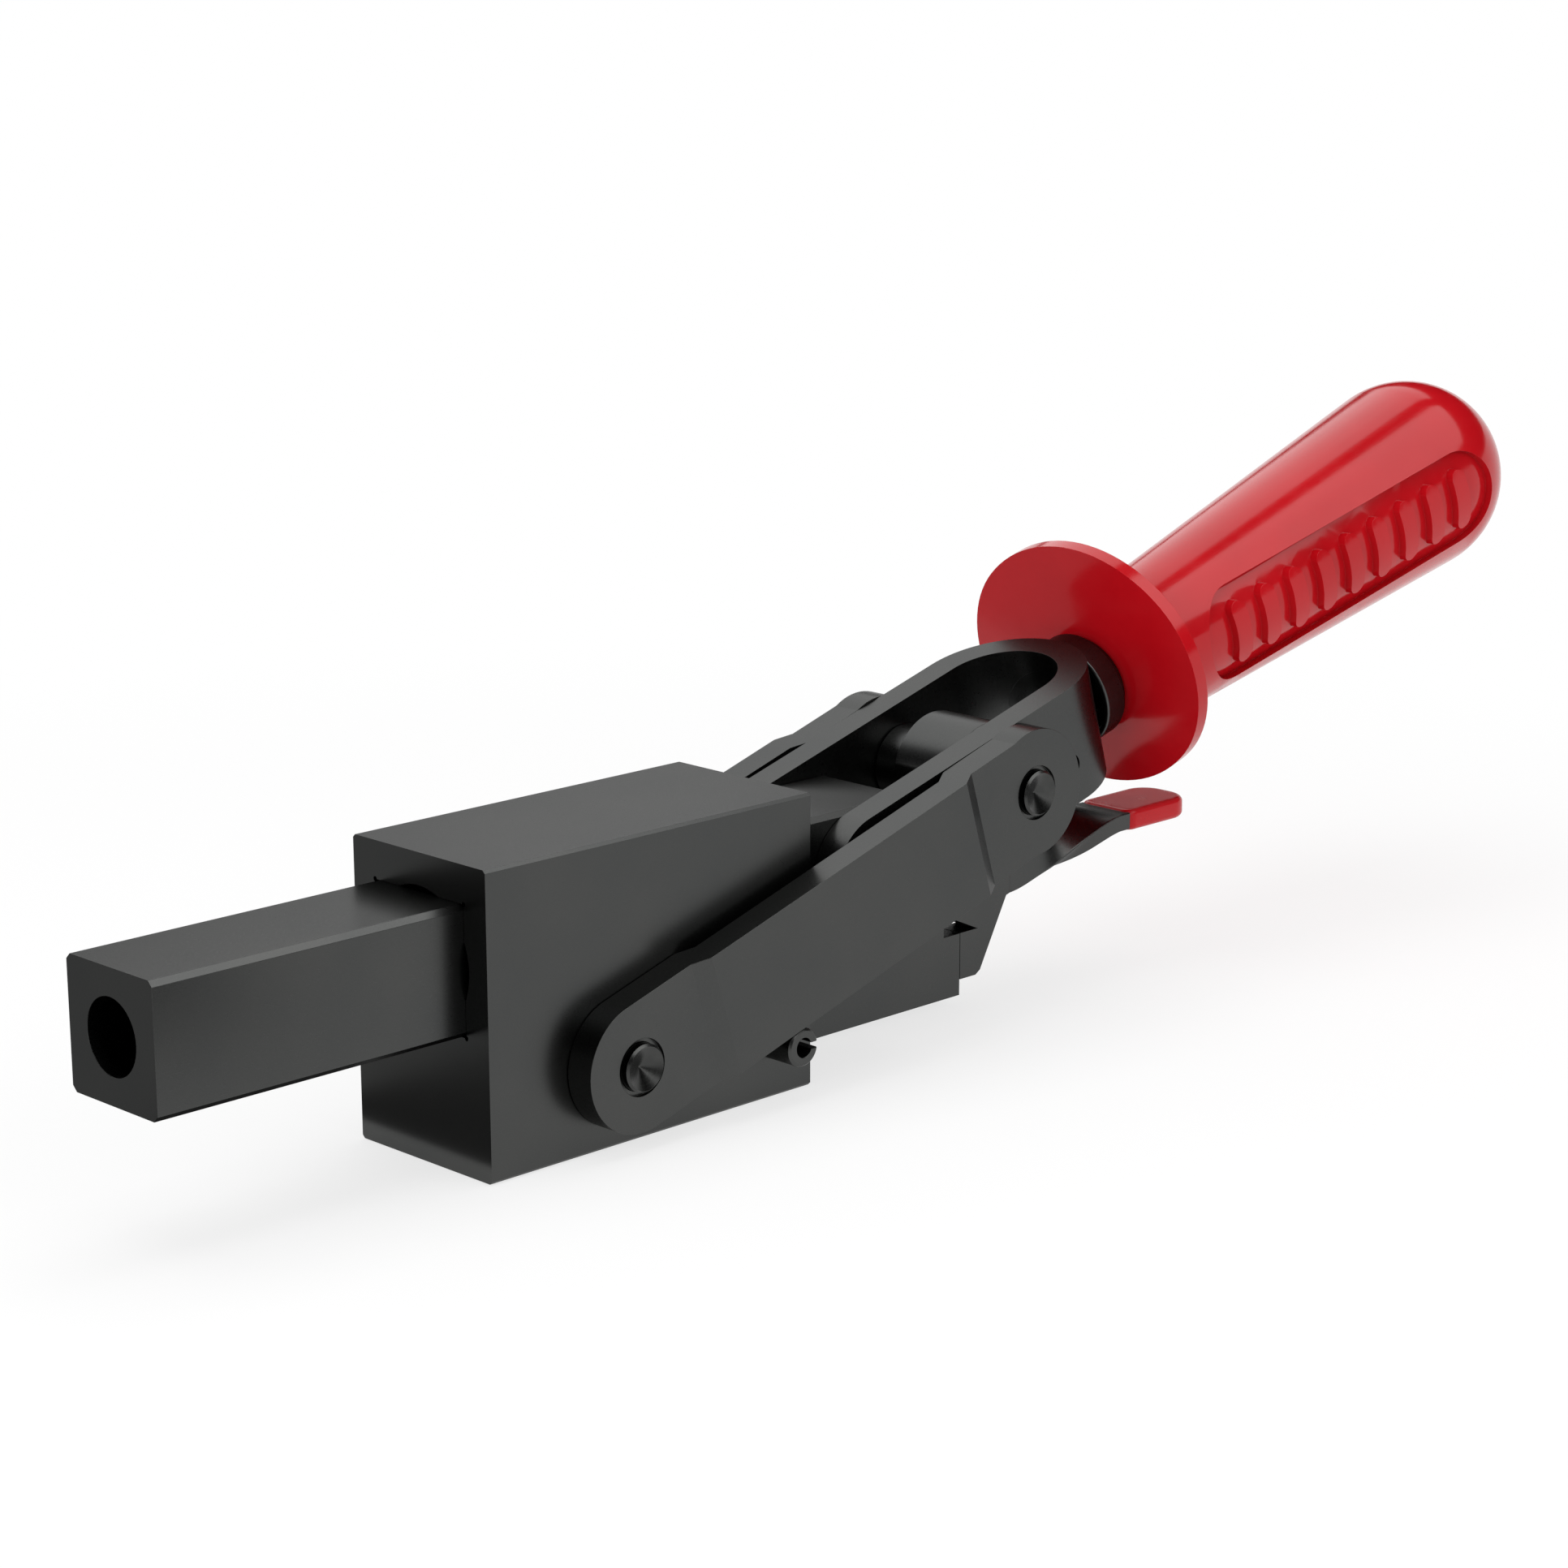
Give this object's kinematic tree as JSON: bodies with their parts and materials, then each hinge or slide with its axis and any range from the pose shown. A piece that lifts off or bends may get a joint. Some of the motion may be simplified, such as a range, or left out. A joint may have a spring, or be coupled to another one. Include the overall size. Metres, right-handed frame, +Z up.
{
  "type": "toggle clamp",
  "caption": "Push and pull toggle clamp: a square plunger slides through a steel block, driven by joggled links, a bent yoke handle with a guarded grip and a release lever.",
  "frame": {"origin": "middle of the front bottom edge of the guide block, on the plane that the block stands on", "axes": "+X runs back along the plunger towards the grip, +Y to the far side, +Z up from the base; the clamp is symmetrical about Y = 0 and is drawn locked, with the plunger run out to the front"},
  "size_m": [0.3917, 0.0624, 0.1183],
  "materials": {
    "dark_steel": "satin blackened steel",
    "pin_steel": "turned, lightly oiled",
    "spring_steel": "drawn wire",
    "red_grip": "smooth moulded",
    "red_cover": "smooth dipped coat"
  },
  "bodies": {
    "block": {"body_block": "dark_steel", "latch_tongue": "dark_steel", "slotted_stop_pin": "pin_steel", "body_pivot_pin": "pin_steel"},
    "plunger": {"plunger": "dark_steel", "plunger_pin": "pin_steel"},
    "links": {"link_near": "dark_steel", "link_far": "dark_steel"},
    "handle": {"yoke": "dark_steel", "handle_pin": "pin_steel", "lever_spacer_near": "pin_steel", "lever_spacer_far": "pin_steel", "handle_stud": "pin_steel", "ferrule": "dark_steel", "grip": "red_grip", "spring_pin": "pin_steel", "lever_spring": "spring_steel"},
    "release": {"release_lever": "dark_steel", "lever_tip_cover": "red_cover"}
  },
  "joints": [
    {"name": "link_swing", "type": "hinge", "parent": "block", "child": "links", "pos_m": [0.0318, 0, 0.017], "axis": [0, -1, 0], "range_deg": [0, 13.72]},
    {"name": "handle_swing", "type": "hinge", "parent": "links", "child": "handle", "pos_m": [0.14234, 0, 0.05084], "axis": [0, -1, 0], "range_deg": [0, 76.28]},
    {"name": "plunger_slide", "type": "slide", "parent": "block", "child": "plunger", "axis": [1, 0, 0], "range_m": [0, 0.03635]},
    {"name": "release_squeeze", "type": "hinge", "parent": "handle", "child": "release", "pos_m": [0.14234, 0, 0.05084], "axis": [0, -1, 0], "range_deg": [0, 5], "stiffness_Nm_per_rad": 0.6, "springref_deg": -17.19}
  ],
  "couplings": [
    {"joint": "link_swing", "follows": "handle_swing", "ratio": 0.1798},
    {"joint": "plunger_slide", "follows": "handle_swing", "m_per_rad": 0.027297}
  ]
}
